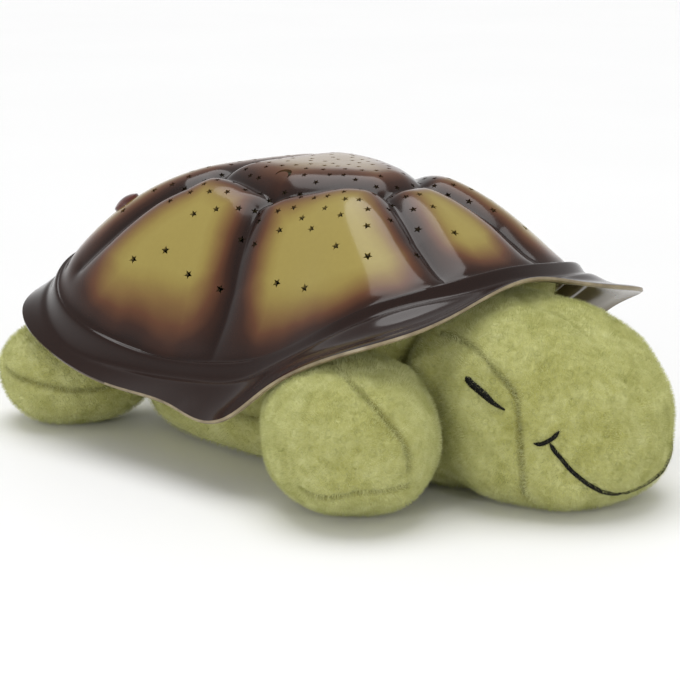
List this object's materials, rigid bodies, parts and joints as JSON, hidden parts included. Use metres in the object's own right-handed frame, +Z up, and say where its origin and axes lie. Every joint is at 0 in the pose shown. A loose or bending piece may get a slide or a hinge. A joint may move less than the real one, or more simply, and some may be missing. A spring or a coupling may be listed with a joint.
{
  "type": "star night light projector",
  "caption": "Stuffed turtle night light: soft body under a hard glossy shell pierced by star holes, with LEDs, press buttons and a battery bay under a belly flap.",
  "frame": {"origin": "floor point under the middle of the whole object's box", "axes": "+Z up, the turtle's head towards -Y, its right side towards -X"},
  "size_m": [0.2702, 0.365, 0.1448],
  "materials": {
    "shell_plastic": "hard glossy plastic, mustard-olive patches fading to near-black brown",
    "button_plastic": "glossy reddish brown",
    "dark_plastic": "moulded matt black",
    "grey_plastic": "moulded matt grey",
    "circuit_board": "green solder mask",
    "chip_plastic": "moulded black component",
    "screw_steel": "zinc plated",
    "spring_steel": "nickel plated",
    "lens_amber": "clear amber epoxy",
    "lens_green": "clear green epoxy",
    "lens_blue": "clear blue epoxy",
    "cell_wrap": "printed film, plain",
    "lead_rubber": "flexible insulation",
    "plush": "short light yellow-green velour",
    "belly_fabric": "flat woven green cloth",
    "hook_loop": "hook and loop tape",
    "thread": "black embroidery"
  },
  "bodies": {
    "root": {"star_shell": "shell_plastic", "base_tub": "dark_plastic", "light_deck": "dark_plastic", "fabric_clamp_ring": "grey_plastic", "light_tower": "dark_plastic", "led_board": "circuit_board", "led_amber": "lens_amber", "led_green": "lens_green", "led_blue": "lens_blue", "main_board": "circuit_board", "board_screws": "screw_steel", "board_components": "chip_plastic", "battery_cells": "cell_wrap", "battery_springs": "spring_steel", "battery_contacts": "spring_steel", "battery_leads": "lead_rubber", "led_leads": "lead_rubber", "button_leads": "lead_rubber", "switch_bodies": "chip_plastic", "switch_boards": "circuit_board", "switch_board_screws": "screw_steel", "base_screws": "screw_steel", "deck_screws": "screw_steel", "belly_panel": "belly_fabric", "flap_loop_strip": "hook_loop", "plush_torso": "plush", "plush_collar": "plush", "plush_head": "plush", "front_paw_right": "plush", "front_paw_left": "plush", "rear_paw_right": "plush", "rear_paw_left": "plush", "plush_tail": "plush", "eye_stitching": "thread", "mouth_stitching": "thread"},
    "button_amber": {"button_amber": "button_plastic", "plunger_amber": "grey_plastic"},
    "button_green": {"button_green": "button_plastic", "plunger_green": "grey_plastic"},
    "button_blue": {"button_blue": "button_plastic", "plunger_blue": "grey_plastic"},
    "button_power": {"button_power": "button_plastic", "plunger_power": "grey_plastic"},
    "belly_flap": {"belly_flap": "belly_fabric", "flap_hook_strip": "hook_loop"},
    "battery_door": {"battery_door": "dark_plastic", "door_screw": "screw_steel"}
  },
  "joints": [
    {"name": "press_amber", "type": "slide", "parent": "root", "child": "button_amber", "axis": [0.3336, -0.4834, -0.8094], "range_m": [0, 0.0008], "stiffness_N_per_m": 500, "springref_m": -0.0008},
    {"name": "press_green", "type": "slide", "parent": "root", "child": "button_green", "axis": [0.0202, -0.5804, -0.8141], "range_m": [0, 0.0008], "stiffness_N_per_m": 500, "springref_m": -0.0008},
    {"name": "press_blue", "type": "slide", "parent": "root", "child": "button_blue", "axis": [-0.0202, -0.5804, -0.8141], "range_m": [0, 0.0008], "stiffness_N_per_m": 500, "springref_m": -0.0008},
    {"name": "press_power", "type": "slide", "parent": "root", "child": "button_power", "axis": [-0.3336, -0.4834, -0.8094], "range_m": [0, 0.0008], "stiffness_N_per_m": 500, "springref_m": -0.0008},
    {"name": "flap_hinge", "type": "hinge", "parent": "root", "child": "belly_flap", "pos_m": [0, -0.0201, 0.0016], "axis": [-1, 0, 0], "range_deg": [0, 110]},
    {"name": "door_hinge", "type": "hinge", "parent": "root", "child": "battery_door", "pos_m": [0, -0.0055, 0.0048], "axis": [-1, 0, 0], "range_deg": [0, 55]}
  ],
  "couplings": [
    {"joint": "door_hinge", "follows": "flap_hinge", "ratio": 0.5}
  ]
}
